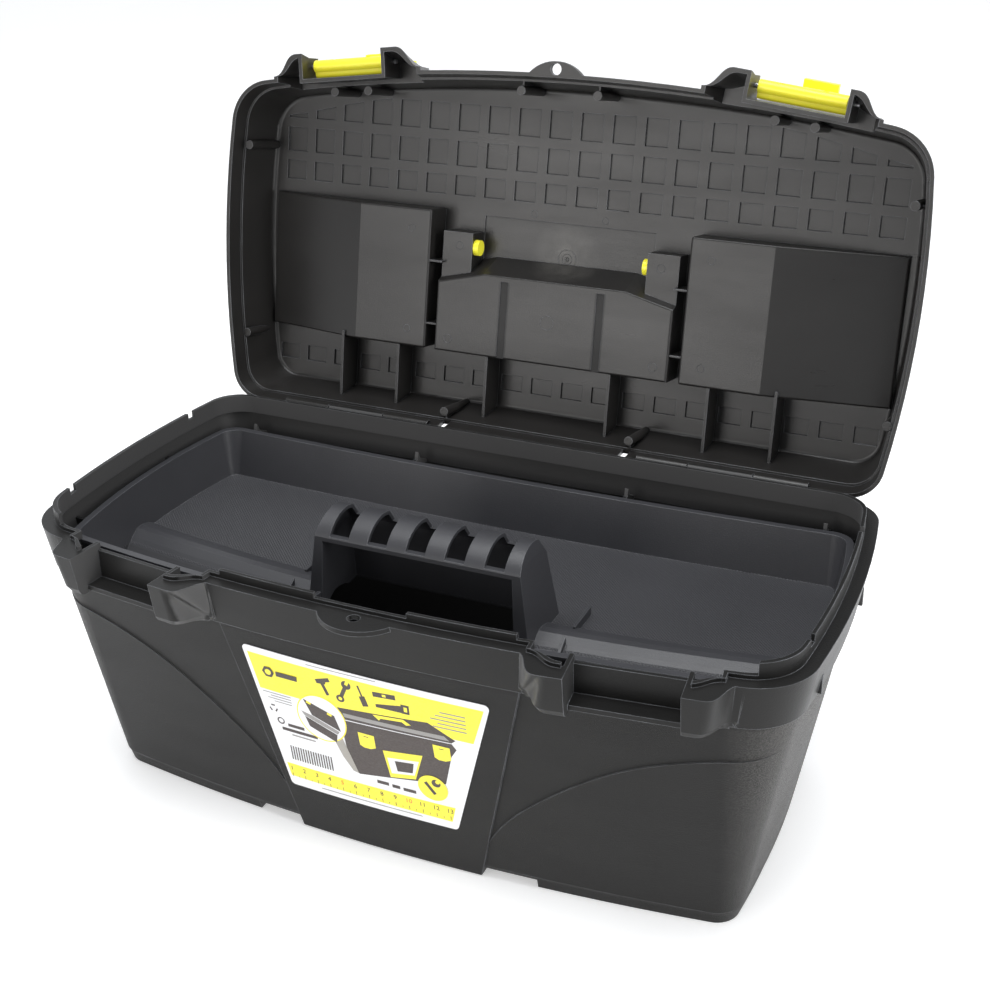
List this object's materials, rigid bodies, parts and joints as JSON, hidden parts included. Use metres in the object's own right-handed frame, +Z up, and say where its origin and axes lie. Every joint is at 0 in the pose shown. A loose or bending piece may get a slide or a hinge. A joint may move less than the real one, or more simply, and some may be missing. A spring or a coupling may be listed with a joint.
{
  "type": "toolbox with tray",
  "caption": "Open moulded toolbox with a hinged lid, lift-out tray with a raised comb grip, two flip latches and a folding carry handle.",
  "frame": {"origin": "bottom centre of the box that encloses the object with its lid open", "axes": "+X along the length towards the right-hand end seen from the front, -Y towards the front with the latches, +Z up"},
  "size_m": [0.48, 0.358, 0.4131],
  "materials": {
    "body_black": "fine spark texture",
    "lid_black": "satin moulded",
    "tray_grey": "satin with knurled floor",
    "yellow": "smooth",
    "pin_steel": "drawn wire",
    "label_paper": "printed, semi-gloss"
  },
  "bodies": {
    "body": {"base_tub": "body_black", "front_label": "label_paper", "hinge_pin_left": "pin_steel", "hinge_pin_right": "pin_steel"},
    "lid": {"lid_shell": "lid_black", "latch_pin_left": "pin_steel", "latch_pin_right": "pin_steel"},
    "tray": {"tray": "tray_grey"},
    "handle": {"carry_handle": "yellow"},
    "latch_l": {"latch_left": "yellow"},
    "latch_r": {"latch_right": "yellow"}
  },
  "joints": [
    {"name": "lid_hinge", "type": "hinge", "parent": "body", "child": "lid", "pos_m": [0, 0.07073, 0.1744], "axis": [-1, 0, 0], "range_deg": [-102.2, 0]},
    {"name": "tray_lift", "type": "slide", "parent": "body", "child": "tray", "axis": [0, 0, 1], "range_m": [0, 0.1]},
    {"name": "handle_fold", "type": "hinge", "parent": "lid", "child": "handle", "pos_m": [0, 0.12562, 0.28346], "axis": [1, 0, 0], "range_deg": [0, 90]},
    {"name": "latch_turn_right", "type": "hinge", "parent": "lid", "child": "latch_r", "pos_m": [0.15124, 0.13186, 0.39752], "axis": [-0.9932, 0.0247, 0.114], "range_deg": [-170, 0]},
    {"name": "latch_turn_left", "type": "hinge", "parent": "lid", "child": "latch_l", "pos_m": [-0.15124, 0.13186, 0.39752], "axis": [-0.9932, -0.0247, -0.114], "range_deg": [-170, 0]}
  ]
}
